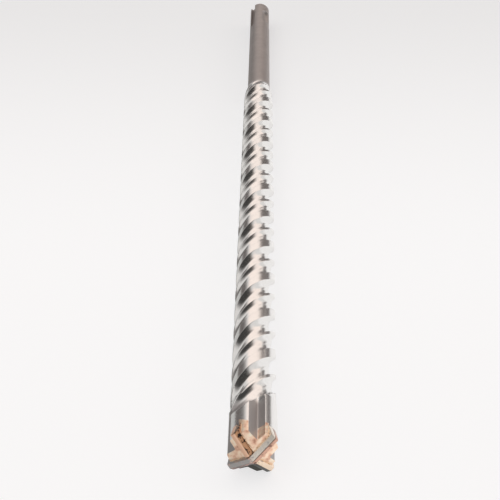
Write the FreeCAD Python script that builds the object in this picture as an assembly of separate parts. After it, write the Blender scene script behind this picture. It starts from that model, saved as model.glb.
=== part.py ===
import FreeCAD, Part
import os
from math import cos, radians, sin, sqrt, tan

# Hammer drill bit for concrete, with the 18 mm grooved shank of heavy rotary hammers.
# The axis is Y, with the tip towards -Y and +Z up. The origin is the centre of the striker face.
# Angles are seen from the tip: 0 is +X, 90 is +Z, and the bit turns counter-clockwise as it drills.
# A size that ends in "from_tip" is measured back from the point of the main cutting plate.

Vector = FreeCAD.Vector
CENTRE = Vector(0, 0, 0)
AXIS = Vector(0, 1, 0)
FULL_TURN = 360.0

# Whole bit
total_length = 670.0
shank_diameter = 18.0
body_diameter = 23.0
head_diameter = 24.2
cutting_diameter = 28.0

# Shank grooves
striker_chamfer = 1.6
shank_roll = 50.0
locking_groove_start = 19.0
locking_groove_length = 31.0
locking_groove_radius = 4.2
locking_groove_floor = 6.1
driving_groove_length = 58.0
driving_groove_width = 5.2
driving_groove_floor = 6.0
driving_cutter_radius = 20.0
driving_groove_spread = 37.0

# Flutes
flute_end_from_striker = 207.0
flute_lead = 77.0
flute_phase = -22.0
wide_land_angle = 38.0
narrow_land_angle = 24.0
main_flute_angle = 66.0
conveying_wall_angle = 10.0
ramp_angle = 27.0
ramp_hollow = 0.36
main_flute_floor = 6.7
side_flute_floor = 7.4
land_taper_length = 16.0
flute_rise_length = 26.0
flute_nose_radius = 6.2

# Cross-shaped head
head_roll = 41.0
head_length = 40.0
head_back_chamfer = 0.6
arm_leading_angle = 19.5
arm_trailing_angle = 31.6
dust_groove_floor = 8.2
dust_groove_angle = 33.2
dust_groove_fillet = 1.2
front_setback = 2.6
runout_middle_from_tip = 29.0
runout_slant = 21.0
runout_reach = 10.0

# Cutting plates
plate_thickness = 4.4
plate_back_from_tip = 15.4
plate_taper_from_tip = 8.0
plate_seat_diameter = 24.6
point_angle = 132.0
main_ridge_offset = -0.1
side_ridge_offset = 0.4
leading_facet_slope = 30.0
relief_facet_slope = 20.0
side_plate_angle = 87.0
side_plate_drop = 0.6
braze_gap = 0.15


def polar(radius, angle, y=0.0):
    """A point on the plane at y, at a radius and an angle seen from the tip."""
    return Vector(radius * cos(radians(angle)), y, radius * sin(radians(angle)))


def along(from_tip):
    """The y of a place measured back from the tip."""
    return from_tip - total_length


def line(start, end):
    return Part.LineSegment(start, end).toShape()


def arc(start, middle, end):
    return Part.Arc(start, middle, end).toShape()


def rim(radius, start, end, y):
    """The arc about the axis from one angle to another."""
    return arc(polar(radius, start, y), polar(radius, (start + end) / 2, y), polar(radius, end, y))


def cylinder(radius, start, end):
    """A cylinder about the axis between two values of y."""
    return Part.makeCylinder(radius, end - start, Vector(0, start, 0), AXIS)


def turned(shape, angle):
    """A copy turned counter-clockwise, as seen from the tip."""
    copy = shape.copy()
    copy.rotate(CENTRE, AXIS, -angle)
    return copy


def extruded(points, path):
    """A closed polygon pushed along a path."""
    return Part.Face(Part.makePolygon(points + points[:1])).extrude(path)


body_radius = body_diameter / 2
head_radius = head_diameter / 2
shank_radius = shank_diameter / 2
helix_front = along(head_length)
helix_back = -flute_end_from_striker
point_slope = 1 / tan(radians(point_angle / 2))
side_flute_angle = 180.0 - wide_land_angle - main_flute_angle - narrow_land_angle
wide_land_start = head_roll + flute_phase


def chain(points):
    """Straight edges from each point to the next."""
    return [line(start, end) for start, end in zip(points, points[1:])]


def flute_edges(start, end, floor, y):
    """Steep conveying wall, floor and hollow ramp of one flute, from land to land."""
    ramp_start = end - ramp_angle
    ramp_middle = floor + ramp_hollow * (body_radius - floor)
    return chain([
        polar(body_radius, start, y),
        polar(floor, start + conveying_wall_angle, y),
        polar(floor, ramp_start, y),
        polar(ramp_middle, (ramp_start + end) / 2, y),
        polar(body_radius, end, y),
    ])


def twist(profile, start, end):
    """Sweep a section from y start to y end with the right-hand lead of the flutes."""
    guide = Part.makeHelix(flute_lead, end - start, body_radius)
    guide.rotate(CENTRE, Vector(1, 0, 0), -90)
    guide.translate(Vector(0, start, 0))
    sweep = Part.BRepOffsetAPI.MakePipeShell(Part.Wire(line(Vector(0, start, 0), Vector(0, end, 0))))
    sweep.setAuxiliarySpine(Part.Wire(guide.Edges), True, 0)
    sweep.add(profile)
    sweep.build()
    sweep.makeSolid()
    return sweep.shape()


def helix_section(y):
    """Two wide lands, two narrow lands and the four flutes between them."""
    edges = []
    for half in (0.0, 180.0):
        wide = wide_land_start + half
        main = wide + wide_land_angle
        narrow = main + main_flute_angle
        side = narrow + narrow_land_angle
        crown = (wide + main) / 2
        edges += chain([polar(body_radius, angle, y) for angle in (wide, crown, main)])
        edges += flute_edges(main, narrow, main_flute_floor, y)
        edges += chain([polar(body_radius, angle, y) for angle in (narrow, side)])
        edges += flute_edges(side, side + side_flute_angle, side_flute_floor, y)
    return Part.Wire(edges)


def make_helix():
    """The fluted length, whose lands taper down to the shank at its back end."""
    flutes = twist(helix_section(helix_front), helix_front, helix_back)
    slope = (body_radius - shank_radius) / land_taper_length
    outer = cutting_diameter / 2
    length = (outer - shank_radius) / slope
    start = Vector(0, helix_back - length, 0)
    cone = Part.makeCone(outer, shank_radius, length, start, AXIS)
    waste = cylinder(outer, start.y, helix_back).cut(cone)
    return flutes.cut(waste)


def make_shank():
    """Plain 18 mm rod from the striker face, with a nose on which the flutes run out."""
    rise_start = helix_back - flute_rise_length
    nose_start = Vector(0, rise_start, 0)
    nose = Part.makeCone(flute_nose_radius, shank_radius, flute_rise_length, nose_start, AXIS)
    rod = cylinder(shank_radius, helix_back, -striker_chamfer)
    face_radius = shank_radius - striker_chamfer
    chamfer = Part.makeCone(shank_radius, face_radius, striker_chamfer, Vector(0, -striker_chamfer, 0), AXIS)
    return rod.fuse([nose, chamfer])


def locking_groove(angle):
    """Closed groove with round ends, which the chuck's locking segment drops into."""
    depth = locking_groove_floor + locking_groove_radius
    front = -locking_groove_start - locking_groove_length + locking_groove_radius
    back = -locking_groove_start - locking_groove_radius
    start = Vector(depth, front, 0)
    ball_front = Part.makeSphere(locking_groove_radius, start)
    ball_back = Part.makeSphere(locking_groove_radius, Vector(depth, back, 0))
    bar = Part.makeCylinder(locking_groove_radius, back - front, start, AXIS)
    return turned(bar.fuse([ball_front, ball_back]), angle)


def driving_groove(angle):
    """Groove open at the striker face, which runs out on the radius of the milling cutter."""
    depth = shank_radius - driving_groove_floor
    runout = sqrt(driving_cutter_radius ** 2 - (driving_cutter_radius - depth) ** 2)
    straight = driving_groove_length - runout
    half = driving_groove_width / 2
    corner = Vector(driving_groove_floor, -straight, -half)
    channel = Part.makeBox(shank_diameter, straight + striker_chamfer, driving_groove_width, corner)
    hub = Vector(driving_groove_floor + driving_cutter_radius, -straight, -half)
    wheel = Part.makeCylinder(driving_cutter_radius, driving_groove_width, hub, Vector(0, 0, 1))
    return turned(channel.fuse(wheel), angle)


def shank_grooves():
    """Two locking grooves across from each other, and three driving grooves between them."""
    grooves = [locking_groove(shank_roll + side) for side in (0.0, 180.0)]
    opposite = shank_roll - 90.0
    for turn in (180.0, driving_groove_spread, -driving_groove_spread):
        grooves.append(driving_groove(opposite + turn))
    return grooves


def cross_section(outer, y):
    """Section of the head: four arms with a dust groove between each two."""
    edges = []
    for quarter in range(4):
        roll = head_roll + 90.0 * quarter
        leading = polar(outer, roll + arm_leading_angle, y)
        trailing = polar(outer, roll + 90.0 - arm_trailing_angle, y)
        corner = polar(dust_groove_floor, roll + dust_groove_angle, y)
        up_leading = (leading - corner).normalize()
        up_trailing = (trailing - corner).normalize()
        half_angle = up_leading.getAngle(up_trailing) / 2
        reach = dust_groove_fillet / tan(half_angle)
        middle = (up_leading + up_trailing).normalize()
        bulge = corner + middle * (dust_groove_fillet / sin(half_angle) - dust_groove_fillet)
        start = corner + up_leading * reach
        end = corner + up_trailing * reach
        edges.append(rim(outer, roll - arm_trailing_angle, roll + arm_leading_angle, y))
        edges.append(line(leading, start))
        edges.append(arc(start, bulge, end))
        edges.append(line(end, trailing))
    return Part.Wire(edges)


def cross_prism(outer, start, end):
    """The cross section carried straight back from y start to y end."""
    return Part.Face(cross_section(outer, start)).extrude(Vector(0, end - start, 0))


def make_head():
    """Straight grooved head with its pointed front and chamfered back."""
    head = cross_prism(head_radius, along(0), helix_front)
    reach = head_length - front_setback
    front = Part.makeCone(0, reach / point_slope, reach, Vector(0, along(front_setback), 0), AXIS)
    chamfer_start = helix_front - head_back_chamfer
    barrel = cylinder(head_radius, along(0), chamfer_start)
    back_radius = head_radius - head_back_chamfer
    back = Part.makeCone(head_radius, back_radius, head_back_chamfer, Vector(0, chamfer_start, 0), AXIS)
    return head.common(front).common(barrel.fuse(back))


def flute_runout(roll):
    """Where a main flute runs out forward across the back of one arm."""
    start = along(runout_middle_from_tip) - runout_reach
    phase = (helix_front - start) / flute_lead * FULL_TURN
    main = wide_land_start + wide_land_angle + phase
    narrow = main + main_flute_angle
    clear = body_radius + runout_reach
    edges = flute_edges(main, narrow, main_flute_floor, start)
    rim_points = [polar(body_radius, narrow, start), polar(clear, narrow, start)]
    rim_points += [polar(clear, (main + narrow) / 2, start), polar(clear, main, start)]
    edges += chain(rim_points + [polar(body_radius, main, start)])
    bar = twist(Part.Wire(edges), start, helix_front)
    size = head_length
    block = Part.makeBox(size, size, size, Vector(-size / 2, 0, -size / 2))
    block.rotate(CENTRE, polar(1, 90), runout_slant)
    block.translate(Vector(0, along(runout_middle_from_tip), 0))
    arm_middle = head_roll + (arm_leading_angle - arm_trailing_angle) / 2
    return turned(bar.common(turned(block, arm_middle)), roll)


def plate_half(inner, drop, ridge_offset):
    """One roof-shaped half of a plate, along +X, from a distance off the axis out to the rim."""
    half = plate_thickness / 2
    leading_drop = (half - ridge_offset) * tan(radians(leading_facet_slope))
    relief_drop = (half + ridge_offset) * tan(radians(relief_facet_slope))
    back = plate_back_from_tip
    profile = [
        Vector(0, along(drop), ridge_offset),
        Vector(0, along(drop + leading_drop), half),
        Vector(0, along(back), half),
        Vector(0, along(back), -half),
        Vector(0, along(drop + relief_drop), -half),
    ]
    reach = cutting_diameter / 2
    roof = extruded(profile, Vector(reach, reach * point_slope, 0))
    taper_start = along(plate_taper_from_tip)
    taper_end = along(back)
    front = cylinder(reach, along(0), taper_start)
    taper_length = taper_end - taper_start
    taper = Part.makeCone(reach, plate_seat_diameter / 2, taper_length, Vector(0, taper_start, 0), AXIS)
    room = Part.makeBox(reach, back, plate_thickness, Vector(inner, along(0), -half))
    return roof.common(front.fuse(taper)).common(room)


def slot(inner, outer):
    """The slot for a plate, along +X, with the braze gap all round it."""
    width = plate_thickness + 2 * braze_gap
    depth = plate_back_from_tip + braze_gap
    return Part.makeBox(outer - inner, depth, width, Vector(inner, along(0), -width / 2))


def make_pieces():
    """All pieces of the bit by name."""
    head = make_head()
    for roll in (0.0, 180.0):
        head = head.cut(flute_runout(roll))

    main_half = plate_half(0, 0, main_ridge_offset)
    main_plate = turned(main_half.fuse(turned(main_half, 180)), head_roll).removeSplitter()
    side_inner = plate_thickness / 2 + 2 * braze_gap
    side_plate = plate_half(side_inner, side_plate_drop, side_ridge_offset)
    side_rolls = {"left": head_roll + side_plate_angle, "right": head_roll + side_plate_angle + 180}
    side_plates = {side: turned(side_plate, roll) for side, roll in side_rolls.items()}

    main_slot = turned(slot(-cutting_diameter, cutting_diameter), head_roll)
    side_slot = slot(0, cutting_diameter)
    side_slots = {side: turned(side_slot, roll).cut(main_slot) for side, roll in side_rolls.items()}

    pieces = {}
    pieces["main_cutting_plate"] = main_plate
    pieces["main_slot_braze"] = head.common(main_slot).cut(main_plate)
    for side, plate in side_plates.items():
        pieces["side_cutting_plate_" + side] = plate
        pieces["side_slot_braze_" + side] = head.common(side_slots[side]).cut(plate)
    head = head.cut([main_slot] + list(side_slots.values()))
    body = head.fuse([make_helix(), make_shank()]).cut(shank_grooves())
    pieces["drill_body"] = body.removeSplitter()
    return pieces


os.makedirs("parts", exist_ok=True)
for name, piece in make_pieces().items():
    print(name, piece.isValid(), len(piece.Solids), round(piece.Volume, 2), len(piece.Faces))
    piece.exportStep("parts/" + name + ".step")
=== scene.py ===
from math import cos, pi, radians, sin, tan

import bmesh
import bpy
import numpy as np
from mathutils import Euler, Matrix, Vector


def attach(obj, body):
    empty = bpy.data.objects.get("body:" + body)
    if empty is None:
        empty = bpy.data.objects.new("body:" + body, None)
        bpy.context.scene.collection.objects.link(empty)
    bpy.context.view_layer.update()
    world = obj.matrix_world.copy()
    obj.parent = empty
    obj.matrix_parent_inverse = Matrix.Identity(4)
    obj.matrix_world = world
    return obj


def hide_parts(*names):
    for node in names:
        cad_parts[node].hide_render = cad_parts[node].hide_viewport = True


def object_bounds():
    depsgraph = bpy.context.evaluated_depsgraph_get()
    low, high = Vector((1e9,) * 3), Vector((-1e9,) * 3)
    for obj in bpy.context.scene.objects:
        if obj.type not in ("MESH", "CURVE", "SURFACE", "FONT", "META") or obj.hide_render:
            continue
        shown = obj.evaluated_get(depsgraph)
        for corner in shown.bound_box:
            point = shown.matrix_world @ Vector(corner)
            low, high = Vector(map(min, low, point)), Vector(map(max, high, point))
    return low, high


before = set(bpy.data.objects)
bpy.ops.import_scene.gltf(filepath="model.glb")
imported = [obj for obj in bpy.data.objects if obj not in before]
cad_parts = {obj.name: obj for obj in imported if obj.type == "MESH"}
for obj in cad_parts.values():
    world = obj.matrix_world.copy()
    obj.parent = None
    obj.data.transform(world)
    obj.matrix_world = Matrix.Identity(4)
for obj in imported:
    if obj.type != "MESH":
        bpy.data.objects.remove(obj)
cad_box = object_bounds()

# Sizes in millimetres and degrees. Angles are seen from the tip, from +X towards +Z.
# "Behind" is the distance behind the point of the main plate, along the axis.
MM = 0.001
LENGTH = (cad_box[1][1] - cad_box[0][1]) / MM
HEAD_RADIUS = 12.1
BODY_RADIUS = 11.5
SHANK_RADIUS = 9.0
PAST_ALL = 99.0

# Cross-shaped head with its coned front and its four straight dust grooves
POINT_ANGLE = 132.0
POINT_SLOPE = 1 / tan(radians(POINT_ANGLE / 2))
FRONT_SETBACK = 2.6
HEAD_ROLL = 41.0
HEAD_BACK = 40.0
HEAD_CHAMFER = 0.6
ARM_LEADING = 19.5
ARM_TRAILING = 31.6
DUST_FLOOR = 8.2
DUST_ANGLE = 33.2
DUST_LIFT_START = 33.0
DUST_CUTTER = 18.0
DUST_SPREAD = 30.0
DUST_OVERLAP = 12.0

# Lands and flutes, by the angle that each takes up; a flute has one steep wall and one long ramp
LEAD = 77.0
WIDE_START = 18.0
WIDE_LAND = 38.0
NARROW_LAND = 13.0
MAIN_FLUTE = 61.0
SIDE_FLUTE = 180.0 - WIDE_LAND - NARROW_LAND - MAIN_FLUTE
MAIN_FLOOR = 9.05
SIDE_FLOOR = 7.75
WALL_ANGLE = 8.0
RAMP_ANGLE = 23.5
RAMP_POWER = 1.56

# Where the flutes end at the shank and where their cutters leave the head
FLUTES_BACK = LENGTH - 207.0
LAND_TAPER = 16.0
FLUTE_RISE = 26.0
NOSE_RADIUS = 6.2
MAIN_RUNOUT = 25.2
SIDE_RUNOUT = 37.0
RUNOUT_LENGTH = 12.0
RUNOUT_LIFT = 7.0
RUNOUT_STEEPNESS = 20.0

# Grooves of the shank, measured from the striker face
STRIKER_CHAMFER = 1.6
STRIKER_RADIUS = 7.4
LOCKING_ANGLES = (50.0, 230.0)
LOCKING_START = 19.0
LOCKING_LENGTH = 31.0
LOCKING_RADIUS = 4.2
LOCKING_FLOOR = 6.1
DRIVING_ANGLES = (140.0, -3.0, -77.0)
DRIVING_WIDTH = 5.2
DRIVING_FLOOR = 6.0
DRIVING_LENGTH = 58.0
DRIVING_CUTTER = 20.0
ABOVE_SHANK = 12.0
BAR_SIDES = 48

# Softness of ground edges and of the cutters' corners
EDGE_ROUND = 0.22
CORNER_ROUND = 1.1
FLUTE_ROUND = 1.4

# The head's rings end and the swept flutes begin where the skin follows one plain helix
HEAD_SKIN_BACK = 50.0
HELIX_START = 50.6
HELIX_RINGS = 250

# Carbide plates in their slots
PLATE = 4.4
PLATE_EASE = 0.14
SIDE_PLATE_ANGLE = 87.0
BRAZE_GAP = 0.15
SLOT_DEPTH = 15.4
SLOT_REACH = 60.0
RIDGE = -0.1

# Edges sharper than these are shaded as edges
STEEL_SHARP = 38.0
PLATE_SHARP = 24.0

# Where beads of braze froze: along the slots' edges over the front, then down the rim
BEAD_FRONT = (4.2, 11.7, 10)
BEAD_RIM = (9.0, SLOT_DEPTH, 6)
BEAD_RIM_RADIUS = 11.75
BEAD_SIZES = {"Thickness": 0.42 * MM, "Step": 0.3 * MM, "Wander": 0.9 * MM, "Grain": 700.0}

# How far back the braze ran over the steel, by angle; the other half of the bit is alike
BRAZE_REACH = (
    (0, 0), (51, 0), (52, 16.8), (60, 16.8), (61, 15.0), (74, 15.0), (75, 0),
    (99, 0), (99.5, 16.0), (122, 18.8), (123, 0), (180, 0),
)
COPPER_EDGE = 0.8
COPPER_FRONT = 0.7
COPPER_FRONT_EDGE = 0.5

# Copper tones from its darkest patches to its brightest
COPPER_TONES = (
    (0.28, "B98A76"), (0.38, "E6B9A0"), (0.48, "F8D6BC"), (0.58, "FFE6CE"), (0.70, "FFF5E2"),
)

# Where the underside of the front is painted near black as shade, by angle, and how far back
UNDERSIDE_SHADE = ((0, 0), (232, 0), (240, 1), (300, 1), (301, 0), (360, 0))
UNDERSIDE_SHADE_BACK = 12.0
UNDERSIDE_SHADE_EDGE = 3.0

# Camera before the tip, from the photo's perspective; its distances are in metres
LENS_MM = 80.0
SENSOR_MM = 36.0
CAMERA_BEFORE_TIP = 0.3965
CAMERA_BESIDE_AXIS = 0.0041
CAMERA_HEIGHT = 0.3397
CAMERA_PITCH = 29.75
CAMERA_YAW = 0.75
NEAREST_SEEN = 0.01

# Matt paper under the bit, in metres. Its painted tones run along the bit for the camera, darker
# far away, then across it for the shine of the metal, a painted shade at the left that the metal
# reflects: axis, where the change starts and ends, first and last tone.
PAPER = "B4B4B4"
PAPER_SIZE = 12.0
PAPER_PAINTED_TONES = (
    ("Y", -0.5, 0.15, "D5D5D6", "BFBFC0"),
    ("X", -0.03, 0.03, "A0A3A2", "E4E4E4"),
)

# The studio round the bit, and what the camera sees past the paper
ROOM = "EEECEA"
BACKDROP = "EDEDEE"

# Patches of the studio: name, middle azimuth from the back towards the right and half its
# width, middle elevation and half its height, soft edge, all in degrees, colour and strength
STUDIO = (
    ("ceiling", 0, 180, 82, 17, 14, "AFADAB", 1.0),
    ("softbox behind", 32, 54, 43, 24, 6, "FFF2EA", 1.2),
    ("dark wall at the left", -56, 30, 8, 26, 10, "787573", 1.0),
    ("low wall behind", -5, 50, 3, 13, 5, "716B69", 1.0),
    ("stand behind", 22, 10, 16, 12, 8, "6E6866", 1.0),
)
# Black flag over the bit: its middle azimuth and elevation, and its radius, soft edge and colour
FLAG = (124, 65, 34, 14, "3E3D3C")

# Settings that several nodes share; a colour Mix takes its colours at inputs 6 and 7
SMOOTH = {"interpolation_type": "SMOOTHSTEP"}
COLOUR = {"data_type": "RGBA"}


def linear(hex_colour):
    """sRGB hex to the linear colour that a node socket takes."""
    channels = []
    for start in (0, 2, 4):
        value = int(hex_colour[start:start + 2], 16) / 255
        channels.append(value / 12.92 if value <= 0.04045 else ((value + 0.055) / 1.055) ** 2.4)
    return (*channels, 1.0)


def add(tree, kind, settings=None, inputs=None, links=None):
    """One node with its settings, its input values and what is linked into it."""
    node = tree.nodes.new(kind)
    for name, value in (settings or {}).items():
        setattr(node, name, value)
    for name, value in (inputs or {}).items():
        node.inputs[name].default_value = value
    for name, socket in (links or {}).items():
        tree.links.new(socket, node.inputs[name])
    return node


def new_material(name):
    """A material with no nodes yet."""
    material = bpy.data.materials.new(name)
    material.use_nodes = True
    material.node_tree.nodes.clear()
    return material, material.node_tree


def set_inputs(modifier, values):
    """Sets a tree's named inputs by their sockets' identifiers."""
    for item in modifier.node_group.interface.items_tree:
        if item.item_type == "SOCKET" and item.in_out == "INPUT" and item.name in values:
            modifier[item.identifier] = values[item.name]


def object_from(name, mesh, material):
    """An object at the origin with its faces outwards, from a mesh that is built in place."""
    bmesh.ops.recalc_face_normals(mesh, faces=mesh.faces[:])
    data = bpy.data.meshes.new(name)
    mesh.to_mesh(data)
    mesh.free()
    data.materials.append(material)
    piece = bpy.data.objects.new(name, data)
    bpy.context.scene.collection.objects.link(piece)
    return piece


def apply_modifiers(piece):
    """The piece with its modifiers turned into plain mesh."""
    graph = bpy.context.evaluated_depsgraph_get()
    data = bpy.data.meshes.new_from_object(piece.evaluated_get(graph))
    piece.modifiers.clear()
    piece.data = data


def ground_steel():
    """Alloy tool steel, ground: bright in its polished flutes and duller in its milled grooves.

    The shank is blasted, so it is matt and brown-grey, and copper lies near the plates.
    """
    material, tree = new_material("ground_alloy_steel")
    coords = add(tree, "ShaderNodeTexCoord").outputs["Object"]
    place = add(tree, "ShaderNodeSeparateXYZ", links={"Vector": coords})
    along = place.outputs["Y"]

    # The wheel's lines round the bit are too fine to show, so they are drawn 0.4 mm apart
    lines = add(tree, "ShaderNodeMapping", inputs={"Scale": (300, 2500, 300)},
                links={"Vector": coords})
    grind = add(tree, "ShaderNodeTexNoise", inputs={"Scale": 1.0, "Detail": 3.0},
                links={"Vector": lines.outputs["Vector"]}).outputs["Fac"]
    polished = add(tree, "ShaderNodeMix", COLOUR, {6: linear("DCDAD8"), 7: linear("ECEBEA")},
                   {0: grind}).outputs[2]

    # Milled dust grooves, which the polishing wheel doesn't reach
    across = add(tree, "ShaderNodeCombineXYZ", links={
        "X": place.outputs["X"], "Z": place.outputs["Z"]})
    radius = add(tree, "ShaderNodeVectorMath", {"operation": "LENGTH"},
                 links={0: across.outputs["Vector"]})
    inside = add(tree, "ShaderNodeMapRange", SMOOTH, {
        "From Min": 11.95 * MM, "From Max": 11.7 * MM}, {"Value": radius.outputs["Value"]})
    ahead = add(tree, "ShaderNodeMapRange", SMOOTH, {
        "From Min": (DUST_LIFT_START + 4 - LENGTH) * MM,
        "From Max": (DUST_LIFT_START - LENGTH) * MM}, {"Value": along})
    milled = add(tree, "ShaderNodeMath", {"operation": "MULTIPLY"}, links={
        0: inside.outputs["Result"], 1: ahead.outputs["Result"]}).outputs[0]
    worked = add(tree, "ShaderNodeMix", COLOUR, {7: linear("B4B0AF")}, {
        0: milled, 6: polished}).outputs[2]

    # Blasted shank: the grit's marks, about 0.1 mm, are drawn 0.3 mm across to show, and
    # stains from handling are 8 mm across
    grit = add(tree, "ShaderNodeTexNoise", inputs={"Scale": 3300.0, "Detail": 2.0},
               links={"Vector": coords}).outputs["Fac"]
    stains = add(tree, "ShaderNodeTexNoise", inputs={"Scale": 120.0, "Detail": 4.0},
                 links={"Vector": coords})
    blasted = add(tree, "ShaderNodeMix", COLOUR, {6: linear("A39D9B"), 7: linear("B9B3B1")},
                  {0: stains.outputs["Fac"]}).outputs[2]
    shank = add(tree, "ShaderNodeMapRange", SMOOTH, {
        "From Min": (FLUTES_BACK - 6 - LENGTH) * MM, "From Max": (FLUTES_BACK + 4 - LENGTH) * MM},
        {"Value": along}).outputs["Result"]
    bare = add(tree, "ShaderNodeMix", COLOUR, links={0: shank, 6: worked, 7: blasted}).outputs[2]

    # Copper that wetted the steel, with a ragged edge, patchy over about 3 mm
    # The copper attribute holds the braze's spread and, below zero, the painted shade under the
    # front
    film = add(tree, "ShaderNodeAttribute", {"attribute_name": "copper"}).outputs["Fac"]
    flow = add(tree, "ShaderNodeTexNoise", inputs={
        "Scale": 700.0, "Detail": 5.0, "Roughness": 0.62}, links={"Vector": coords}).outputs["Fac"]
    ragged = add(tree, "ShaderNodeMath", {"operation": "MULTIPLY_ADD"}, {1: 0.3, 2: -0.15},
                 {0: flow})
    level = add(tree, "ShaderNodeMath", {"operation": "ADD"}, links={
        0: film, 1: ragged.outputs[0]}).outputs[0]
    covered = add(tree, "ShaderNodeMapRange", SMOOTH, {"From Min": 0.44, "From Max": 0.56},
                  {"Value": level}).outputs["Result"]
    patches = add(tree, "ShaderNodeTexNoise", inputs={"Scale": 330.0, "Detail": 3.0},
                  links={"Vector": coords})
    copper = add(tree, "ShaderNodeValToRGB", links={"Fac": patches.outputs["Fac"]})
    ramp = copper.color_ramp
    for position, tone in COPPER_TONES:
        ramp.elements.new(position).color = linear(tone)
    ramp.elements.remove(ramp.elements[0])
    ramp.elements.remove(ramp.elements[-1])
    coppered = add(tree, "ShaderNodeMix", COLOUR, links={
        0: covered, 6: bare, 7: copper.outputs["Color"]}).outputs[2]

    # Painted shade: the underside of the front is painted near black, where shade falls
    underside_shade = add(tree, "ShaderNodeMapRange", SMOOTH, {"From Min": -0.35, "From Max": -0.6},
                {"Value": level})
    colour = add(tree, "ShaderNodeMix", COLOUR, {7: linear("504D49")}, {
        0: underside_shade.outputs["Result"], 6: coppered}).outputs[2]

    # Roughness of polished, milled, blasted and coppered places
    roughness = add(tree, "ShaderNodeMapRange", inputs={"To Min": 0.17, "To Max": 0.25},
                    links={"Value": grind})
    for share, rough in ((milled, 0.5), (shank, 0.55), (covered, 0.38)):
        roughness = add(tree, "ShaderNodeMapRange", inputs={"To Max": rough}, links={
            "Value": share, "To Min": roughness.outputs["Result"]})

    # Grit marks on the shank and the frozen flow of the copper stand out in relief
    height = add(tree, "ShaderNodeMapRange", links={
        "Value": covered, "To Min": grit, "To Max": flow})
    coarse = add(tree, "ShaderNodeMath", {"operation": "MAXIMUM"}, links={0: shank, 1: covered})
    relief = add(tree, "ShaderNodeMapRange", inputs={"To Min": 0.03, "To Max": 0.3},
                 links={"Value": coarse.outputs[0]})
    bump = add(tree, "ShaderNodeBump", inputs={"Distance": 0.0003}, links={
        "Height": height.outputs["Result"], "Strength": relief.outputs["Result"]})
    shader = add(tree, "ShaderNodeBsdfPrincipled", inputs={"Metallic": 1.0}, links={
        "Base Color": colour, "Roughness": roughness.outputs["Result"],
        "Normal": bump.outputs["Normal"]})
    add(tree, "ShaderNodeOutputMaterial", links={"Surface": shader.outputs["BSDF"]})
    return material


def sintered_carbide(name, roll, facets, painted_ridge_tone):
    """Sintered tungsten carbide, ground grey, with copper that ran over its facets.

    Each facet gives how much copper covers it, that copper's colour and its bare colour; these
    colours are painted light and shade, paler on facets turned to the light and darker on facets in
    shade. They run: leading and trailing facet of the half that points along the roll, then of the
    other half. The last argument is the colour of a painted line along the ridge of the half that
    points along the roll: a painted highlight where it is pale, painted shade where it is dark.
    """
    material, tree = new_material(name)
    coords = add(tree, "ShaderNodeTexCoord").outputs["Object"]
    own = add(tree, "ShaderNodeMapping", inputs={"Rotation": (0, radians(roll), 0)},
              links={"Vector": coords})
    place = add(tree, "ShaderNodeSeparateXYZ", links={"Vector": own.outputs["Vector"]})

    # Which half of the plate a place is on, and which side of each half's ridge
    near, above, below = (
        add(tree, "ShaderNodeMapRange", SMOOTH, {"From Min": low * MM, "From Max": high * MM},
            {"Value": place.outputs[axis]}).outputs["Result"]
        for axis, low, high in (
            ("X", -1.5, 1.5), ("Z", RIDGE - 0.1, RIDGE + 0.1), ("Z", 0.1 - RIDGE, -0.1 - RIDGE)))
    shaded_facet_mixes = []
    for tones in zip(*facets):
        leading, trailing, far_leading, far_trailing = (
            linear(tone) if isinstance(tone, str) else (tone, tone, tone, 1.0) for tone in tones)
        halves = [
            add(tree, "ShaderNodeMix", COLOUR, {6: back, 7: front}, {0: side}).outputs[2]
            for back, front, side in (
                (far_trailing, far_leading, below), (trailing, leading, above))]
        shaded_facet_mixes.append(add(tree, "ShaderNodeMix", COLOUR, links={
            0: near, 6: halves[0], 7: halves[1]}).outputs[2])
    share, copper, bare = shaded_facet_mixes

    # Copper lies in patches 1.5 mm across
    flow = add(tree, "ShaderNodeTexNoise", inputs={"Scale": 620.0, "Detail": 4.0, "Roughness": 0.6},
               links={"Vector": coords}).outputs["Fac"]
    level = add(tree, "ShaderNodeMath", {"operation": "ADD"}, links={0: share, 1: flow})
    covered = add(tree, "ShaderNodeMapRange", SMOOTH, {"From Min": 0.96, "From Max": 1.04},
                  {"Value": level.outputs[0]})
    facet = add(tree, "ShaderNodeMix", COLOUR, links={
        0: covered.outputs["Result"], 6: bare, 7: copper}).outputs[2]

    # A painted line along the ridge: a painted highlight where its colour is pale, painted shade
    # where it is dark
    off = add(tree, "ShaderNodeMath", {"operation": "SUBTRACT"}, {1: RIDGE * MM},
              {0: place.outputs["Z"]})
    distance = add(tree, "ShaderNodeMath", {"operation": "ABSOLUTE"}, links={0: off.outputs[0]})
    narrow = add(tree, "ShaderNodeMapRange", SMOOTH, {"From Min": 0.28 * MM, "From Max": 0.12 * MM},
                 {"Value": distance.outputs[0]})
    line = add(tree, "ShaderNodeMath", {"operation": "MULTIPLY"}, links={
        0: narrow.outputs["Result"], 1: near})
    ridge_painted = add(tree, "ShaderNodeMix", COLOUR, {7: linear(painted_ridge_tone)}, {
        0: line.outputs[0], 6: facet}).outputs[2]

    # Carbide grains are a few micrometres, so their mottle is drawn 0.4 mm across to show
    grain = add(tree, "ShaderNodeTexNoise", inputs={"Scale": 2500.0, "Detail": 3.0},
                links={"Vector": coords})
    mottle = add(tree, "ShaderNodeMapRange", inputs={"To Min": 0.86},
                 links={"Value": grain.outputs["Fac"]})
    colour = add(tree, "ShaderNodeMix", {**COLOUR, "blend_type": "MULTIPLY"}, {0: 1.0}, {
        6: ridge_painted, 7: mottle.outputs["Result"]}).outputs[2]
    bump = add(tree, "ShaderNodeBump", inputs={"Strength": 0.3, "Distance": 0.0002},
               links={"Height": flow})
    shader = add(tree, "ShaderNodeBsdfPrincipled", inputs={"Metallic": 1.0, "Roughness": 0.36},
                 links={"Base Color": colour, "Normal": bump.outputs["Normal"]})
    add(tree, "ShaderNodeOutputMaterial", links={"Surface": shader.outputs["BSDF"]})
    return material


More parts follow.
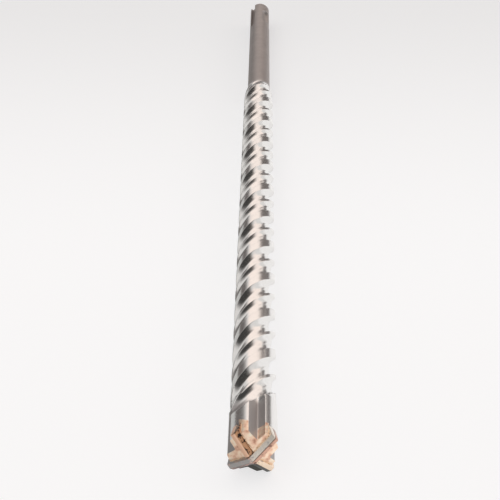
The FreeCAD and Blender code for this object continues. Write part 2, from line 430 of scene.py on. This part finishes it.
def copper_braze():
    """Copper braze that ran and froze, pink where it is thin and yellow where it is thick.

    Its frozen ripples are about 1.7 mm across.
    """
    material, tree = new_material("flowed_copper_braze")
    coords = add(tree, "ShaderNodeTexCoord").outputs["Object"]
    flow = add(tree, "ShaderNodeTexNoise", inputs={"Scale": 600.0, "Detail": 4.0},
               links={"Vector": coords}).outputs["Fac"]
    colour = add(tree, "ShaderNodeMix", COLOUR, {6: linear("D9A888"), 7: linear("FFF0D2")},
                 {0: flow}).outputs[2]
    bump = add(tree, "ShaderNodeBump", inputs={"Strength": 0.4, "Distance": 0.0003},
               links={"Height": flow})
    shader = add(tree, "ShaderNodeBsdfPrincipled", inputs={"Metallic": 1.0, "Roughness": 0.35},
                 links={"Base Color": colour, "Normal": bump.outputs["Normal"]})
    add(tree, "ShaderNodeOutputMaterial", links={"Surface": shader.outputs["BSDF"]})
    return material


def smooth_max(a, b, reach):
    """The larger of two, rounded where they meet."""
    share = np.clip(0.5 + 0.5 * (a - b) / reach, 0, 1)
    return b + (a - b) * share + reach * share * (1 - share)


def smooth_min(a, b, reach):
    """The smaller of two, rounded where they meet."""
    return -smooth_max(-a, -b, reach)


def polar(radius, angle):
    """Across and up from the axis."""
    return np.array([radius * cos(radians(angle)), radius * sin(radians(angle))])


def wrapped(angle):
    """An angle brought into -180 to 180."""
    return (angle + 180.0) % 360.0 - 180.0


def wall_radius(foot, rim, angle):
    """How far from the axis a ray meets the straight wall through two points."""
    run = rim - foot
    x, z = np.cos(np.radians(angle)), np.sin(np.radians(angle))
    return (foot[0] * run[1] - foot[1] * run[0]) / (x * run[1] - z * run[0])


def blank(behind):
    """Radius of the steel before its grooves and flutes are cut."""
    chamfer = HEAD_RADIUS - (behind - HEAD_BACK + HEAD_CHAMFER)
    return np.minimum(HEAD_RADIUS, np.maximum(chamfer, BODY_RADIUS))


def dust_grooves(angle, behind):
    """Radius of the head's four straight dust grooves, which run out in their cutter's curve."""
    radius = np.full(np.broadcast(angle, behind).shape, PAST_ALL)
    past = np.clip(behind - DUST_LIFT_START, 0, DUST_CUTTER * 0.95)
    lift = DUST_CUTTER - np.sqrt(DUST_CUTTER ** 2 - past ** 2)
    for quarter in range(4):
        roll = HEAD_ROLL + 90.0 * quarter
        foot = polar(DUST_FLOOR, roll + DUST_ANGLE)
        side = wrapped(angle - roll - DUST_ANGLE)
        within = np.clip(side, -DUST_SPREAD, DUST_SPREAD) + roll + DUST_ANGLE
        leading = wall_radius(foot, polar(HEAD_RADIUS, roll + ARM_LEADING), within)
        trailing = wall_radius(foot, polar(HEAD_RADIUS, roll + 90.0 - ARM_TRAILING), within)
        leading = np.where(side > DUST_OVERLAP, 0.0, leading)
        trailing = np.where(side < -DUST_OVERLAP, 0.0, trailing)
        groove = smooth_max(leading, trailing, CORNER_ROUND) + lift
        radius = np.where(np.abs(side) < DUST_SPREAD, np.minimum(radius, groove), radius)
    return radius


def one_flute(turn, opening, floor):
    """Radius of a flute, from the angle past its front edge."""
    wall = BODY_RADIUS - (BODY_RADIUS - floor) * turn / WALL_ANGLE
    climb = (turn - opening + RAMP_ANGLE) / RAMP_ANGLE
    ramp = floor + (BODY_RADIUS - floor) * np.sign(climb) * np.abs(climb) ** RAMP_POWER
    return smooth_max(smooth_max(wall, np.full_like(wall, floor), FLUTE_ROUND), ramp, FLUTE_ROUND)


def runout(behind, edge):
    """How far a cutter that leaves the steel lifts off its full depth."""
    share = np.clip((edge + RUNOUT_LENGTH - behind) / RUNOUT_LENGTH, 0, 1)
    curve = RUNOUT_LIFT * (1 - np.sqrt(1 - share ** 2))
    return curve + np.clip(edge - behind, 0, None) * RUNOUT_STEEPNESS


def flutes(angle, behind):
    """Radius of the four helical flutes."""
    turned = angle + (behind - HEAD_BACK) * 360.0 / LEAD
    radius = np.full(np.broadcast(angle, behind).shape, PAST_ALL)
    for half in (0.0, 180.0):
        main = WIDE_START + WIDE_LAND + half
        side = main + MAIN_FLUTE + NARROW_LAND
        for start, opening, floor, front in ((main, MAIN_FLUTE, MAIN_FLOOR, MAIN_RUNOUT),
                                             (side, SIDE_FLUTE, SIDE_FLOOR, SIDE_RUNOUT)):
            middle = opening / 2
            turn = wrapped(turned - start - middle) + middle
            cut = one_flute(turn, opening, floor) + runout(behind, front)
            radius = np.minimum(radius, cut)
    return radius


def steel_radius(angle, behind):
    """Radius of the steel all round and all along its head and flutes."""
    radius = smooth_min(blank(behind), dust_grooves(angle, behind), EDGE_ROUND)
    radius = smooth_min(radius, flutes(angle, behind), EDGE_ROUND)
    front = (behind - FRONT_SETBACK) / POINT_SLOPE
    return np.minimum(radius, front)


def ring_points(angles, behind):
    """Points of one ring of the steel, in metres."""
    radius = steel_radius(angles, np.full(angles.shape, behind))
    x = radius * np.cos(np.radians(angles))
    z = radius * np.sin(np.radians(angles))
    y = np.full(angles.shape, behind - LENGTH)
    return np.stack([x, y, z], 1) * MM


def close_angles(marks, step, spread):
    """Angles all round at an even step, with more of them beside each mark and none too close."""
    angles = list(np.arange(0, 360, step))
    for mark in marks:
        angles += [mark + part * spread for part in (-2, -1, 0, 1, 2)]
    angles = np.sort(np.array(angles) % 360)
    keep = np.append(True, np.diff(angles) > spread * 0.3)
    return angles[keep]


def steel_rows():
    """How far behind the tip the rings stand: the cone, the arms, the run-out and past it."""
    cone_end = FRONT_SETBACK + HEAD_RADIUS * POINT_SLOPE
    cone = np.linspace(FRONT_SETBACK + 0.15, cone_end, 22)
    arms = np.linspace(cone_end, 24.0, 26)[1:]
    fine = np.arange(24.3, 43.0, 0.33)
    rest = np.linspace(43.4, HEAD_SKIN_BACK, 12)
    return np.concatenate([cone, arms, fine, rest])


def add_band(mesh, rings):
    """Quads between rings that have as many points each."""
    count = len(rings[0])
    for near, far in zip(rings, rings[1:]):
        for i in range(count):
            j = (i + 1) % count
            mesh.faces.new((near[i], near[j], far[j], far[i]))


def bridge(mesh, near, near_angles, far, far_angles):
    """Triangles between two rings that have different numbers of points."""
    i = j = 0
    far_start = int(np.argmin(np.abs(wrapped(far_angles - near_angles[0]))))
    far_order = [(far_start + k) % len(far) for k in range(len(far) + 1)]
    near_turn = np.append(near_angles - near_angles[0], 360.0)
    far_turn = np.array([(far_angles[k] - near_angles[0]) % 360 for k in far_order])
    far_turn[0] = wrapped(far_turn[0])
    far_turn[-1] = far_turn[0] + 360
    while i < len(near) or j < len(far):
        take_near = j == len(far) or (i < len(near) and near_turn[i + 1] < far_turn[j + 1])
        a = near[i % len(near)]
        b = far[far_order[j]]
        if take_near:
            i += 1
            mesh.faces.new((a, near[i % len(near)], b))
        else:
            j += 1
            mesh.faces.new((a, far[far_order[j]], b))


def flute_section():
    """The flutes' section as a closed wire, drawn flat for the sweep."""
    marks = []
    for half in (0.0, 180.0):
        main = WIDE_START + WIDE_LAND + half
        side = main + MAIN_FLUTE + NARROW_LAND
        marks += [main, main + MAIN_FLUTE, side, side + SIDE_FLUTE]
    turned = close_angles(marks, 3.0, 0.6)
    at = turned - (HELIX_START - HEAD_BACK) * 360.0 / LEAD
    points = [(x, -z, 0) for x, y, z in ring_points(at, HELIX_START)]
    edges = [(i, (i + 1) % len(points)) for i in range(len(points))]
    data = bpy.data.meshes.new("flute_section")
    data.from_pydata(points, edges, [])
    return data


def helix_tree(material):
    """Geometry Nodes that sweep a section along the axis with a turn for each lead.

    They also end the flutes at the shank.
    """
    tree = bpy.data.node_groups.new("right_hand_helix", "GeometryNodeTree")
    tree.interface.new_socket("Geometry", in_out="INPUT", socket_type="NodeSocketGeometry")
    for name in ("Front", "Back", "Lead", "Land Radius", "Land Taper", "Shank Radius",
                 "Flute Rise", "Nose Radius", "Edge Round"):
        tree.interface.new_socket(name, in_out="INPUT", socket_type="NodeSocketFloat")
    tree.interface.new_socket("Rings", in_out="INPUT", socket_type="NodeSocketInt")
    tree.interface.new_socket("Geometry", in_out="OUTPUT", socket_type="NodeSocketGeometry")
    sizes = add(tree, "NodeGroupInput").outputs

    # A straight path along the axis whose tilt turns once round for each lead
    section = add(tree, "GeometryNodeMeshToCurve", links={"Mesh": sizes["Geometry"]})
    front = add(tree, "ShaderNodeCombineXYZ", links={"Y": sizes["Front"]})
    back = add(tree, "ShaderNodeCombineXYZ", links={"Y": sizes["Back"]})
    axis = add(tree, "GeometryNodeCurvePrimitiveLine", links={
        "Start": front.outputs["Vector"], "End": back.outputs["Vector"]})
    path = add(tree, "GeometryNodeResampleCurve", {"mode": "COUNT"},
               links={"Curve": axis.outputs["Curve"], "Count": sizes["Rings"]})
    place = add(tree, "GeometryNodeInputPosition")
    along = add(tree, "ShaderNodeSeparateXYZ", links={"Vector": place.outputs["Position"]})
    run = add(tree, "ShaderNodeMath", {"operation": "SUBTRACT"}, links={
        0: along.outputs["Y"], 1: sizes["Front"]})
    turns = add(tree, "ShaderNodeMath", {"operation": "DIVIDE"}, links={
        0: run.outputs[0], 1: sizes["Lead"]})
    turn = add(tree, "ShaderNodeMapRange", {"clamp": False}, {"From Max": 1.0, "To Max": 2 * pi},
               {"Value": turns.outputs[0]})
    tilted = add(tree, "GeometryNodeSetCurveTilt", links={
        "Curve": path.outputs["Curve"], "Tilt": turn.outputs["Result"]})
    sweep = add(tree, "GeometryNodeCurveToMesh", links={
        "Curve": tilted.outputs["Curve"], "Profile Curve": section.outputs["Curve"]})

    # The lands taper down to the shank, and the flutes' floor rises to it
    across = add(tree, "ShaderNodeVectorMath", {"operation": "MULTIPLY"}, {1: (1, 0, 1)},
                 {0: place.outputs["Position"]})
    radius = add(tree, "ShaderNodeVectorMath", {"operation": "LENGTH"},
                 links={0: across.outputs["Vector"]})
    left = add(tree, "ShaderNodeMath", {"operation": "SUBTRACT"}, links={
        0: sizes["Back"], 1: along.outputs["Y"]})
    taper = add(tree, "ShaderNodeMapRange", {"clamp": False}, links={
        "Value": left.outputs[0], "From Max": sizes["Land Taper"],
        "To Min": sizes["Shank Radius"], "To Max": sizes["Land Radius"]})
    lands = add(tree, "ShaderNodeMath", {"operation": "MINIMUM"}, links={
        0: radius.outputs["Value"], 1: taper.outputs["Result"]})
    rise = add(tree, "ShaderNodeMapRange", {"clamp": False}, links={
        "Value": left.outputs[0], "From Max": sizes["Flute Rise"],
        "To Min": sizes["Shank Radius"], "To Max": sizes["Nose Radius"]})
    floors = add(tree, "ShaderNodeMath", {"operation": "SMOOTH_MAX"}, links={
        0: lands.outputs[0], 1: rise.outputs["Result"], 2: sizes["Edge Round"]})
    scale = add(tree, "ShaderNodeMath", {"operation": "DIVIDE"}, links={
        0: floors.outputs[0], 1: radius.outputs["Value"]})
    stretch = add(tree, "ShaderNodeCombineXYZ", inputs={"Y": 1.0}, links={
        "X": scale.outputs[0], "Z": scale.outputs[0]})
    moved = add(tree, "ShaderNodeVectorMath", {"operation": "MULTIPLY"}, links={
        0: place.outputs["Position"], 1: stretch.outputs["Vector"]})
    shaped = add(tree, "GeometryNodeSetPosition", links={
        "Geometry": sweep.outputs["Mesh"], "Position": moved.outputs["Vector"]})
    real = add(tree, "GeometryNodeRealizeInstances", links={"Geometry": shaped.outputs["Geometry"]})
    dressed = add(tree, "GeometryNodeSetMaterial", inputs={"Material": material},
                  links={"Geometry": real.outputs["Geometry"]})
    add(tree, "NodeGroupOutput", links={"Geometry": dressed.outputs["Geometry"]})
    return tree


def fluted_length():
    """The section swept back to the shank by the Geometry Nodes tree."""
    piece = bpy.data.objects.new("fluted_length", flute_section())
    bpy.context.scene.collection.objects.link(piece)
    step = piece.modifiers.new("helix", "NODES")
    step.node_group = helix_tree(steel)
    set_inputs(step, {
        "Front": (HELIX_START - LENGTH) * MM, "Back": (FLUTES_BACK - LENGTH) * MM,
        "Rings": HELIX_RINGS, "Lead": LEAD * MM, "Land Radius": BODY_RADIUS * MM,
        "Land Taper": LAND_TAPER * MM, "Shank Radius": SHANK_RADIUS * MM,
        "Flute Rise": FLUTE_RISE * MM, "Nose Radius": NOSE_RADIUS * MM,
        "Edge Round": EDGE_ROUND * MM})
    apply_modifiers(piece)
    data = piece.data
    bpy.data.objects.remove(piece)
    return data


def ring_angles(ring):
    """The angle of each point of a ring."""
    return np.array([np.degrees(np.arctan2(point.co.z, point.co.x)) % 360 for point in ring])


def rising(ring):
    """The points of a ring in the order of rising angle."""
    first, second = ring_angles(ring[:2])
    return list(ring) if wrapped(second - first) > 0 else list(reversed(ring))


def make_steel():
    """Head and flutes as one skin, with its last ring at the shank and that ring's angles."""
    mesh = bmesh.new()
    marks = []
    for quarter in range(4):
        roll = HEAD_ROLL + 90.0 * quarter
        marks += [roll + ARM_LEADING, roll + 90 - ARM_TRAILING, roll + DUST_ANGLE]
    angles = close_angles(marks, 1.0, 0.4)
    rings = []
    for behind in steel_rows():
        rings.append([mesh.verts.new(p) for p in ring_points(angles, behind)])
    add_band(mesh, rings)
    tip = mesh.verts.new((0, (FRONT_SETBACK - LENGTH) * MM, 0))
    for i in range(len(angles)):
        mesh.faces.new((tip, rings[0][(i + 1) % len(angles)], rings[0][i]))

    data = fluted_length()
    count = len(data.vertices) // HELIX_RINGS
    start = len(mesh.verts)
    mesh.from_mesh(data)
    mesh.verts.ensure_lookup_table()
    first = rising(mesh.verts[start:start + count])
    last = rising(mesh.verts[-count:])
    bridge(mesh, rings[-1], angles, first, ring_angles(first))
    return mesh, last, ring_angles(last)


def lathe(mesh, angles, profile, first_ring):
    """Rings from (behind the tip, radius) pairs, joined on to a ring that is there."""
    rings = [first_ring]
    for behind, radius in profile:
        ring = []
        for angle in angles:
            x, z = polar(radius, angle)
            ring.append(mesh.verts.new((x * MM, (behind - LENGTH) * MM, z * MM)))
        rings.append(ring)
    add_band(mesh, rings)
    mesh.faces.new(rings[-1])


def cutter_from(name, mesh, roll):
    """A cutter modelled above the axis, turned to its angle round the bit."""
    turn = Matrix.Rotation(radians(90 - roll), 3, "Y")
    bmesh.ops.rotate(mesh, cent=(0, 0, 0), matrix=turn, verts=mesh.verts[:])
    return object_from(name, mesh, steel)


def slot_cutter(roll):
    """A flat bar across the front that leaves the slots of two plates."""
    size = (SLOT_REACH * MM, (SLOT_DEPTH + BRAZE_GAP) * MM * 2, (PLATE + 2 * BRAZE_GAP) * MM)
    mesh = bmesh.new()
    bmesh.ops.create_cube(mesh, size=1)
    bmesh.ops.scale(mesh, vec=size, verts=mesh.verts[:])
    bmesh.ops.translate(mesh, vec=(0, -LENGTH * MM, 0), verts=mesh.verts[:])
    return cutter_from("slot_cutter", mesh, 90 + roll)


def locking_cutter(roll):
    """Round bar with ball ends that leaves one closed locking groove."""
    mesh = bmesh.new()
    height = (LOCKING_FLOOR + LOCKING_RADIUS) * MM
    near = -(LOCKING_START + LOCKING_RADIUS)
    far = -(LOCKING_START + LOCKING_LENGTH - LOCKING_RADIUS)
    rings = []
    steps = [(far, -angle) for angle in range(85, 0, -10)] + [(far, 0), (near, 0)]
    steps += [(near, angle) for angle in range(5, 90, 10)]
    for middle, angle in steps:
        y = middle + LOCKING_RADIUS * sin(radians(angle))
        radius = LOCKING_RADIUS * cos(radians(angle))
        rings.append([
            mesh.verts.new((radius * cos(turn) * MM, y * MM, height + radius * sin(turn) * MM))
            for turn in np.linspace(0, 2 * pi, BAR_SIDES, endpoint=False)])
    add_band(mesh, rings)
    mesh.faces.new(rings[0])
    mesh.faces.new(rings[-1])
    return cutter_from("locking_cutter", mesh, roll)


def driving_cutter(roll):
    """Straight bar that runs out in the curve of the side cutter behind it."""
    mesh = bmesh.new()
    deep = DRIVING_CUTTER - SHANK_RADIUS + DRIVING_FLOOR
    straight = DRIVING_LENGTH - (DRIVING_CUTTER ** 2 - deep ** 2) ** 0.5
    past_end = 1.0
    outline = [(past_end, ABOVE_SHANK), (past_end, DRIVING_FLOOR)]
    for angle in np.linspace(0, 45, 16):
        outline.append((-straight - DRIVING_CUTTER * sin(radians(angle)),
                        DRIVING_FLOOR + DRIVING_CUTTER * (1 - cos(radians(angle)))))
    outline.append((outline[-1][0], ABOVE_SHANK))
    sides = []
    for x in (-DRIVING_WIDTH / 2, DRIVING_WIDTH / 2):
        sides.append([mesh.verts.new((x * MM, y * MM, z * MM)) for y, z in outline])
    add_band(mesh, sides)
    mesh.faces.new(sides[0])
    mesh.faces.new(sides[1])
    return cutter_from("driving_cutter", mesh, roll)


def cut(piece, cutters):
    """Cut several shapes out of a piece."""
    for cutter in cutters:
        step = piece.modifiers.new("cut", "BOOLEAN")
        step.operation = "DIFFERENCE"
        step.solver = "EXACT"
        step.object = cutter
        apply_modifiers(piece)
        bpy.data.objects.remove(cutter)


def copper_and_shade_share(x, behind, z):
    """How surely braze ran over a place on the steel, from 0 to 1, and -1 where the underside of
    the front is painted dark as shade.
    """
    angle = np.degrees(np.arctan2(z, x)) % 360
    reach = np.interp(angle % 180, *zip(*BRAZE_REACH))
    face = FRONT_SETBACK + POINT_SLOPE * np.hypot(x, z)
    sides = np.clip((reach - behind) / COPPER_EDGE + 0.5, 0, 1)
    front = np.clip((face + COPPER_FRONT - behind) / COPPER_FRONT_EDGE, 0, 1)
    underside_shade = np.interp(angle, *zip(*UNDERSIDE_SHADE)) * np.clip((UNDERSIDE_SHADE_BACK - behind) / UNDERSIDE_SHADE_EDGE, 0, 1)
    return np.maximum(sides, front) * (1 - underside_shade) - underside_shade


def mark_copper_and_shade(data):
    """Keeps the spread of the braze, and the painted shade under the front, as a value on each
    vertex.
    """
    count = len(data.vertices)
    points = np.empty(count * 3)
    data.vertices.foreach_get("co", points)
    points = points.reshape(-1, 3) / MM
    share = copper_and_shade_share(points[:, 0], points[:, 1] + LENGTH, points[:, 2])
    copper = data.attributes.new("copper", "FLOAT", "POINT")
    copper.data.foreach_set("value", share.astype(np.float32))


def make_body():
    """The steel: head, flutes and shank in one skin, with its slots and grooves cut out."""
    mesh, ring, angles = make_steel()
    shank = ((FLUTES_BACK + 10, SHANK_RADIUS), (LENGTH - STRIKER_CHAMFER, SHANK_RADIUS),
             (LENGTH, STRIKER_RADIUS))
    lathe(mesh, angles, shank, ring)
    body = object_from("ground_body", mesh, steel)
    cutters = [slot_cutter(HEAD_ROLL + turn) for turn in (0, SIDE_PLATE_ANGLE)]
    cutters += [locking_cutter(roll) for roll in LOCKING_ANGLES]
    cutters += [driving_cutter(roll) for roll in DRIVING_ANGLES]
    cut(body, cutters)
    mark_copper_and_shade(body.data)
    body.data.shade_smooth()
    body.data.set_sharp_from_angle(angle=radians(STEEL_SHARP))
    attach(body, "root")
    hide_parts("drill_body")


def make_plate(node, material):
    """The CAD plate again: its loose triangles become whole facets, whose edges are eased."""
    mesh = bmesh.new()
    mesh.from_mesh(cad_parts[node].data)
    bmesh.ops.remove_doubles(mesh, verts=mesh.verts[:], dist=0.001 * MM)
    bmesh.ops.dissolve_limit(mesh, angle_limit=radians(2), verts=mesh.verts[:], edges=mesh.edges[:])
    corners = [edge for edge in mesh.edges if edge.calc_face_angle(0) > radians(12)]
    bmesh.ops.bevel(mesh, geom=corners, offset=PLATE_EASE * MM, segments=2, profile=0.5,
                    affect="EDGES", clamp_overlap=True)
    plate = object_from("ground_" + node, mesh, material)
    plate.data.shade_smooth()
    plate.data.set_sharp_from_angle(angle=radians(PLATE_SHARP))
    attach(plate, "root")
    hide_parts(node)


def dress(name, material):
    """Gives a CAD node another material and leaves its mesh as it is."""
    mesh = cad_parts[name].data
    mesh.materials.clear()
    mesh.materials.append(material)


def bead_lines():
    """Both edges of each slot over the front of the steel and down its rim."""
    half = (PLATE + BRAZE_GAP) / 2
    lines = []
    for turn in (0, SIDE_PLATE_ANGLE, 180, SIDE_PLATE_ANGLE + 180):
        out = polar(1, HEAD_ROLL + turn)
        side = np.array([-out[1], out[0]])
        for hand in (1, -1):
            line = []
            for distance in np.linspace(*BEAD_FRONT):
                point = out * distance + side * half * hand
                line.append((point[0], FRONT_SETBACK + POINT_SLOPE * np.hypot(*point), point[1]))
            for behind in np.linspace(*BEAD_RIM):
                point = out * BEAD_RIM_RADIUS + side * half * hand
                line.append((point[0], behind, point[1]))
            lines.append(line)
    return lines


def bead_tree(material):
    """Geometry Nodes that lay an uneven bead of frozen braze along every line of a wire mesh."""
    tree = bpy.data.node_groups.new("frozen_braze_bead", "GeometryNodeTree")
    tree.interface.new_socket("Geometry", in_out="INPUT", socket_type="NodeSocketGeometry")
    for name in ("Thickness", "Step", "Wander", "Grain"):
        tree.interface.new_socket(name, in_out="INPUT", socket_type="NodeSocketFloat")
    tree.interface.new_socket("Geometry", in_out="OUTPUT", socket_type="NodeSocketGeometry")
    sizes = add(tree, "NodeGroupInput").outputs
    lines = add(tree, "GeometryNodeMeshToCurve", links={"Mesh": sizes["Geometry"]})
    paths = add(tree, "GeometryNodeResampleCurve", {"mode": "LENGTH"},
                links={"Curve": lines.outputs["Curve"], "Length": sizes["Step"]})
    noise = add(tree, "ShaderNodeTexNoise", {"noise_dimensions": "4D"}, {"W": 3.0, "Detail": 2.0},
                {"Scale": sizes["Grain"]})
    centred = add(tree, "ShaderNodeVectorMath", {"operation": "SUBTRACT"}, {1: (0.5, 0.5, 0.5)},
                  {0: noise.outputs["Color"]})
    drift = add(tree, "ShaderNodeVectorMath", {"operation": "SCALE"}, links={
        0: centred.outputs["Vector"], "Scale": sizes["Wander"]})
    wandering = add(tree, "GeometryNodeSetPosition", links={
        "Geometry": paths.outputs["Curve"], "Offset": drift.outputs["Vector"]})
    swell = add(tree, "ShaderNodeMapRange", inputs={
        "From Min": 0.36, "From Max": 0.64, "To Min": 0.25, "To Max": 1.0},
        links={"Value": noise.outputs["Fac"]})
    section = add(tree, "GeometryNodeCurvePrimitiveCircle", {"mode": "RADIUS"}, {"Resolution": 8},
                  {"Radius": sizes["Thickness"]})
    tube = add(tree, "GeometryNodeCurveToMesh", inputs={"Fill Caps": True}, links={
        "Curve": wandering.outputs["Geometry"], "Profile Curve": section.outputs["Curve"],
        "Scale": swell.outputs["Result"]})
    real = add(tree, "GeometryNodeRealizeInstances", links={"Geometry": tube.outputs["Mesh"]})
    dressed = add(tree, "GeometryNodeSetMaterial", inputs={"Material": material},
                  links={"Geometry": real.outputs["Geometry"]})
    add(tree, "NodeGroupOutput", links={"Geometry": dressed.outputs["Geometry"]})
    return tree


def make_beads():
    """Frozen beads of copper where the plates meet the steel."""
    data = bpy.data.meshes.new("braze_beads")
    points = []
    edges = []
    for line in bead_lines():
        start = len(points)
        points += [(x * MM, (behind - LENGTH) * MM, z * MM) for x, behind, z in line]
        edges += [(i, i + 1) for i in range(start, len(points) - 1)]
    data.from_pydata(points, edges, [])
    beads = bpy.data.objects.new("braze_beads", data)
    bpy.context.scene.collection.objects.link(beads)
    step = beads.modifiers.new("beads", "NODES")
    step.node_group = bead_tree(braze)
    set_inputs(step, BEAD_SIZES)
    apply_modifiers(beads)
    beads.data.shade_smooth()
    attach(beads, "root")


def make_floor():
    """Matt white paper with painted tones: darker far away for the camera, and a painted shade at
    the left that the shine of the metal sees.
    """
    material, tree = new_material("matt_white_paper")
    coords = add(tree, "ShaderNodeTexCoord").outputs["Object"]
    place = add(tree, "ShaderNodeSeparateXYZ", links={"Vector": coords})
    tones = []
    for axis, low, high, first, second in PAPER_PAINTED_TONES:
        share = add(tree, "ShaderNodeMapRange", SMOOTH, {"From Min": low, "From Max": high},
                    {"Value": place.outputs[axis]})
        tones.append(add(tree, "ShaderNodeMix", COLOUR, {6: linear(first), 7: linear(second)},
                         {0: share.outputs["Result"]}).outputs[2])
    path = add(tree, "ShaderNodeLightPath")
    # The shine of the metal sees the tones across the bit, painted shade at the left; the camera
    # sees those along it
    seen = add(tree, "ShaderNodeMix", COLOUR, links={
        0: path.outputs["Is Glossy Ray"], 6: tones[0], 7: tones[1]})
    either = add(tree, "ShaderNodeMath", {"operation": "MAXIMUM"}, links={
        0: path.outputs["Is Camera Ray"], 1: path.outputs["Is Glossy Ray"]})
    paper = add(tree, "ShaderNodeBsdfDiffuse", inputs={"Color": linear(PAPER)})
    glow = add(tree, "ShaderNodeEmission", links={
        "Color": seen.outputs[2], "Strength": either.outputs[0]})
    both = add(tree, "ShaderNodeAddShader", links={0: paper.outputs[0], 1: glow.outputs[0]})
    add(tree, "ShaderNodeOutputMaterial", links={"Surface": both.outputs[0]})
    bpy.ops.mesh.primitive_plane_add(size=PAPER_SIZE, location=(0, 0, cad_box[0][2]))
    floor = bpy.context.object
    floor.name = "floor"
    floor.data.materials.append(material)


def make_camera():
    """A long lens before the tip, turned down along the bit."""
    data = bpy.data.cameras.new("camera")
    data.lens = LENS_MM
    data.sensor_width = SENSOR_MM
    data.clip_start = NEAREST_SEEN
    camera = bpy.data.objects.new("camera", data)
    camera.location = (CAMERA_BESIDE_AXIS, -LENGTH * MM - CAMERA_BEFORE_TIP, CAMERA_HEIGHT)
    camera.rotation_euler = (radians(90 - CAMERA_PITCH), 0, radians(CAMERA_YAW))
    bpy.context.scene.collection.objects.link(camera)
    bpy.context.scene.camera = camera


def make_world():
    """A pale room that only the metal sees, with the studio's patches and the flag in it."""
    world = bpy.data.worlds.new("studio")
    bpy.context.scene.world = world
    world.use_nodes = True
    tree = world.node_tree
    tree.nodes.clear()
    direction = add(tree, "ShaderNodeTexCoord").outputs["Generated"]
    parts = add(tree, "ShaderNodeSeparateXYZ", links={"Vector": direction})
    azimuth = add(tree, "ShaderNodeMath", {"operation": "ARCTAN2"}, links={
        0: parts.outputs["X"], 1: parts.outputs["Y"]}).outputs[0]
    elevation = add(tree, "ShaderNodeMath", {"operation": "ARCSINE"}, links={
        0: parts.outputs["Z"]}).outputs[0]
    room = add(tree, "ShaderNodeRGB")
    room.outputs[0].default_value = linear(ROOM)
    colour = room.outputs[0]
    for name, side, half_width, rise, half_height, edge, tone, strength in STUDIO:
        shares = []
        for angle, middle, half in ((azimuth, side, half_width), (elevation, rise, half_height)):
            off = add(tree, "ShaderNodeMath", {"operation": "SUBTRACT", "label": name},
                      {1: radians(middle)}, {0: angle})
            size = add(tree, "ShaderNodeMath", {"operation": "ABSOLUTE"}, links={0: off.outputs[0]})
            shares.append(add(tree, "ShaderNodeMapRange", SMOOTH, {
                "From Min": radians(half + edge / 2), "From Max": radians(half - edge / 2)},
                {"Value": size.outputs[0]}).outputs["Result"])
        share = add(tree, "ShaderNodeMath", {"operation": "MULTIPLY"}, links={
            0: shares[0], 1: shares[1]})
        light = [channel * strength for channel in linear(tone)[:3]] + [1]
        colour = add(tree, "ShaderNodeMix", COLOUR, {7: light}, {
            0: share.outputs[0], 6: colour}).outputs[2]
    side, rise, size, edge, tone = FLAG
    middle = Vector((0, 1, 0))
    middle.rotate(Euler((radians(rise), 0, radians(-side))))
    facing = add(tree, "ShaderNodeVectorMath", {"operation": "DOT_PRODUCT"}, {1: middle},
                 {0: direction})
    share = add(tree, "ShaderNodeMapRange", SMOOTH, {
        "From Min": cos(radians(size + edge / 2)), "From Max": cos(radians(size - edge / 2))},
        {"Value": facing.outputs["Value"]})
    colour = add(tree, "ShaderNodeMix", COLOUR, {7: linear(tone)}, {
        0: share.outputs["Result"], 6: colour}).outputs[2]
    light = add(tree, "ShaderNodeBackground", links={"Color": colour})
    pale = add(tree, "ShaderNodeBackground", inputs={"Color": linear(BACKDROP)})
    path = add(tree, "ShaderNodeLightPath")
    mix = add(tree, "ShaderNodeMixShader", links={
        0: path.outputs["Is Camera Ray"], 1: light.outputs[0], 2: pale.outputs[0]})
    add(tree, "ShaderNodeOutputWorld", links={"Surface": mix.outputs[0]})


steel = ground_steel()
braze = copper_braze()

# Facets of the plates: share of copper, its colour and the bare colour, in the order that
# sintered_carbide gives; these colours are painted light and shade, paler on facets turned to the
# light and darker on facets in shade. The last colour is a painted line along the ridge: a painted
# highlight on the left plate, painted shade on the main and right plates. A side plate has no other
# half, so its last two facets aren't seen.
main_carbide = sintered_carbide("tungsten_carbide_main", HEAD_ROLL, (
    (0.62, "FFF6EA", "D8D2CE"), (0.60, "D9AE9A", "8A6C60"),
    (0.50, "C89C90", "6A6260"), (0.40, "E4BDB4", "B9B5B3")), "7A6054")
left_carbide = sintered_carbide("tungsten_carbide_left", HEAD_ROLL + SIDE_PLATE_ANGLE, (
    (0.66, "FACBAE", "C2A79C"), (0.50, "D2A07C", "3C312D")) * 2, "F0C8AC")
right_carbide = sintered_carbide("tungsten_carbide_right", HEAD_ROLL + SIDE_PLATE_ANGLE + 180, (
    (0.60, "FFE8D0", "A08C80"), (0.34, "6A5648", "3A3A38")) * 2, "5A4A40")
make_body()
make_plate("main_cutting_plate", main_carbide)
make_plate("side_cutting_plate_left", left_carbide)
make_plate("side_cutting_plate_right", right_carbide)
make_beads()
for node in ("main_slot_braze", "side_slot_braze_left", "side_slot_braze_right"):
    dress(node, braze)
make_floor()
make_camera()
make_world()
bpy.context.scene.view_settings.view_transform = "Standard"
